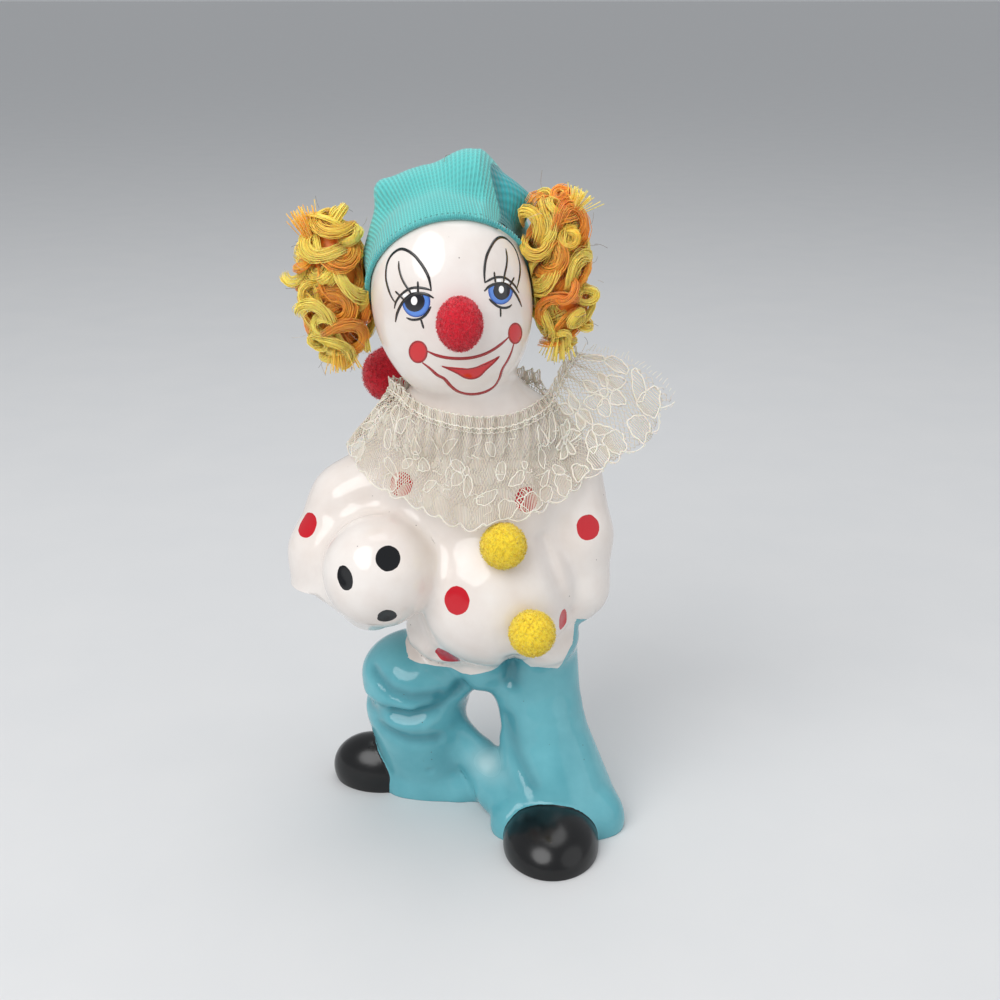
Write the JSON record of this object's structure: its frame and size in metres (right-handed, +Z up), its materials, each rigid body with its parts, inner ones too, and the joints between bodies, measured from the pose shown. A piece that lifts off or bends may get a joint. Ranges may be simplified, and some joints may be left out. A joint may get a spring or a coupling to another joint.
{
  "type": "clown figurine",
  "caption": "Standing glazed ceramic clown holding a ball, with a knitted cap, curly doll hair, pompom nose and buttons, and a gathered lace collar.",
  "frame": {"origin": "on the floor, under the middle of the box that the whole piece fills", "axes": "+Z up, -Y to the front that the clown faces, +X to the clown's left"},
  "size_m": [0.1163, 0.0879, 0.2016],
  "materials": {
    "glaze": "white, turquoise and black earthenware glazes with red dots, all under a clear gloss",
    "knit": "turquoise ribbed cotton knit",
    "red_yarn": "red clipped acrylic pompom",
    "yellow_yarn": "yellow clipped acrylic pompom",
    "doll_hair": "yellow and orange curled acrylic doll hair",
    "lace": "cream floral cotton lace"
  },
  "bodies": {
    "root": {"figure": "glaze", "cap": "knit", "cap_pompom": "red_yarn", "nose_pompom": "red_yarn", "button_upper": "yellow_yarn", "button_lower": "yellow_yarn", "hair_right": "doll_hair", "hair_left": "doll_hair", "lace_collar": "lace"}
  },
  "joints": []
}
